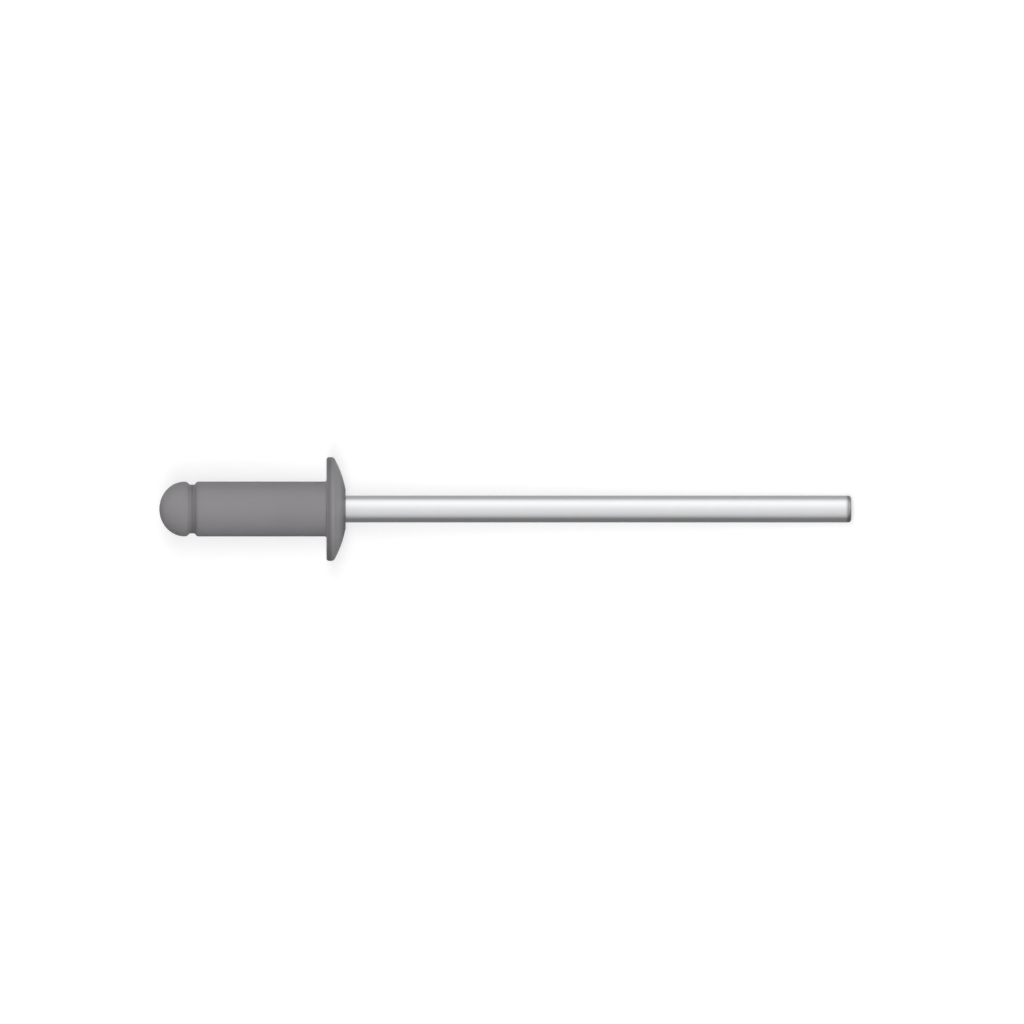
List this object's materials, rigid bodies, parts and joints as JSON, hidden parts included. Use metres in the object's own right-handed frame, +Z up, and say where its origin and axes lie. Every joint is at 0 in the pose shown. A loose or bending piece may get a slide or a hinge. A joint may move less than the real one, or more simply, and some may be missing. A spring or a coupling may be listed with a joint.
{
  "type": "blind rivet",
  "caption": "Open-type blind rivet: painted aluminium sleeve with a domed flange, on a headed steel mandrel, unset.",
  "frame": {"origin": "centre of the flange's seat, on the rivet's axis, where the flange meets the sheet", "axes": "+X towards the tip of the mandrel and +Z up, as the rivet rests: its axis lies in the XZ plane and dips 4.26 degrees below +X towards the tip"},
  "size_m": [0.0411, 0.0062, 0.0062],
  "materials": {
    "sleeve_paint": "satin",
    "mandrel_steel": "satin"
  },
  "bodies": {
    "root": {"rivet_body": "sleeve_paint", "mandrel": "mandrel_steel"}
  },
  "joints": []
}
